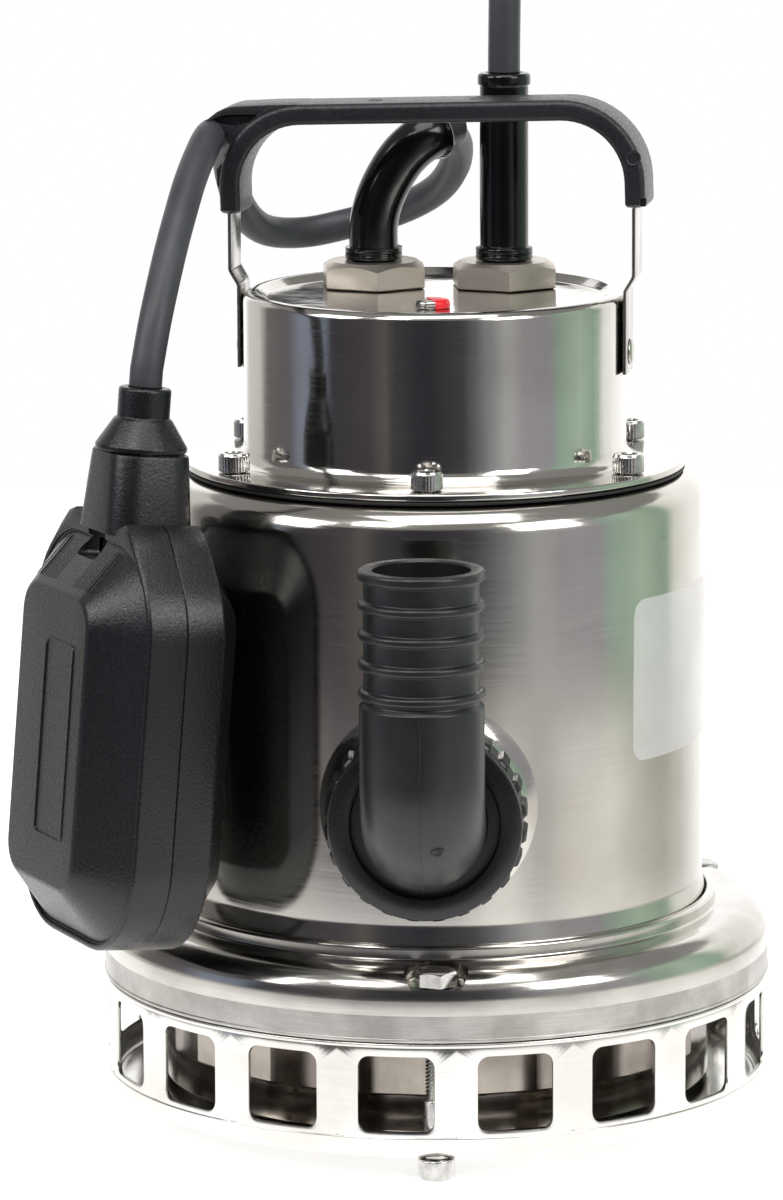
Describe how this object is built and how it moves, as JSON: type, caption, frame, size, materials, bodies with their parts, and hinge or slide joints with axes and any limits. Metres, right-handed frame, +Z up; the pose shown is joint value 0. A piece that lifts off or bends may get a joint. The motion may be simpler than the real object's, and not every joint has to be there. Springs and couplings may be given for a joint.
{
  "type": "submersible sump pump",
  "caption": "Submersible sump pump with a ribbed union outlet and hose elbow, carrying handle, float switch on its cable, coiled power cord and round strainer base.",
  "frame": {"origin": "bottom centre of the box round the pump, its float and its outlet, without the free cords; the three foot nuts stand on z = 0", "axes": "+Z up along the motor's axis, which stands at x = 10.6 mm, y = 18.8 mm; the outlet points to -Y and the float hangs on the -X side"},
  "size_m": [0.2052, 0.4497, 0.3523],
  "materials": {
    "polished_steel": "polished stainless steel",
    "satin_steel": "brushed stainless steel",
    "zinc": "zinc plated",
    "nickel": "satin nickel plate",
    "cast_aluminium": "as cast",
    "lamination": "stacked sheet",
    "copper_wire": "lacquered wire",
    "black_plastic": "fine textured",
    "light_plastic": "plain",
    "gasket": "matt",
    "gloss_rubber": "glossy",
    "cable_rubber": "matt",
    "seal_ceramic": "lapped"
  },
  "bodies": {
    "pump": {"strainer": "polished_steel", "base_cover": "polished_steel", "tie_bolt_1": "zinc", "tie_bolt_2": "zinc", "tie_bolt_3": "zinc", "foot_nut_1": "zinc", "foot_nut_2": "zinc", "foot_nut_3": "zinc", "pump_casing": "polished_steel", "seal_seat": "seal_ceramic", "oil_chamber_cover": "cast_aluminium", "lower_bracket": "cast_aluminium", "lower_bearing": "satin_steel", "upper_bracket": "cast_aluminium", "upper_bearing": "satin_steel", "stator_core": "lamination", "lower_winding": "copper_wire", "upper_winding": "copper_wire", "motor_housing": "satin_steel", "outer_jacket": "polished_steel", "cover_gasket": "gasket", "motor_cover": "polished_steel", "cover_screw_1": "zinc", "cover_screw_2": "zinc", "cover_screw_3": "zinc", "cover_screw_4": "zinc", "cover_screw_5": "zinc", "cover_screw_6": "zinc", "terminal_plate": "light_plastic", "capacitor": "cast_aluminium", "vent_screw": "zinc", "power_gland_nut": "nickel", "float_gland_nut": "nickel", "power_boot": "gloss_rubber", "float_boot": "gloss_rubber", "handle_grip": "black_plastic", "left_strip": "satin_steel", "right_strip": "satin_steel", "left_rivet": "satin_steel", "right_rivet": "satin_steel", "port_seal": "gasket", "float_cable_loop": "cable_rubber", "power_cable": "cable_rubber", "power_coil": "cable_rubber", "power_tail": "cable_rubber", "power_plug": "black_plastic"},
    "rotor": {"shaft": "satin_steel", "rotor_core": "lamination", "impeller": "black_plastic", "impeller_nut": "zinc", "seal_face": "gasket"},
    "union_nut": {"union_nut": "black_plastic"},
    "elbow": {"elbow": "black_plastic"},
    "float": {"float_front_shell": "black_plastic", "float_rear_shell": "black_plastic", "float_neck": "black_plastic", "float_nut": "black_plastic", "float_switch": "light_plastic", "float_cable_drop": "cable_rubber"},
    "ball": {"float_ball": "satin_steel"}
  },
  "joints": [
    {"name": "rotor_spin", "type": "hinge", "parent": "pump", "child": "rotor", "pos_m": [0.0106, 0.0188, 0.1], "axis": [0, 0, 1], "continuous": true},
    {"name": "union_nut_turn", "type": "hinge", "parent": "pump", "child": "union_nut", "pos_m": [0.0111, -0.0692, 0.097], "axis": [0, -1, 0], "continuous": true},
    {"name": "elbow_swivel", "type": "hinge", "parent": "pump", "child": "elbow", "pos_m": [0.0111, -0.0942, 0.097], "axis": [0, 1, 0], "range_deg": [-20, 180]},
    {"name": "float_swing", "type": "hinge", "parent": "pump", "child": "float", "pos_m": [-0.0492, 0.0266, 0.2678], "axis": [-0.4691, 0.8832, 0], "range_deg": [0, 100], "deforming": ["float_cable_drop"]},
    {"name": "ball_roll", "type": "slide", "parent": "float", "child": "ball", "axis": [0.077, 0.0409, 0.9962], "range_m": [0, 0.03]}
  ]
}
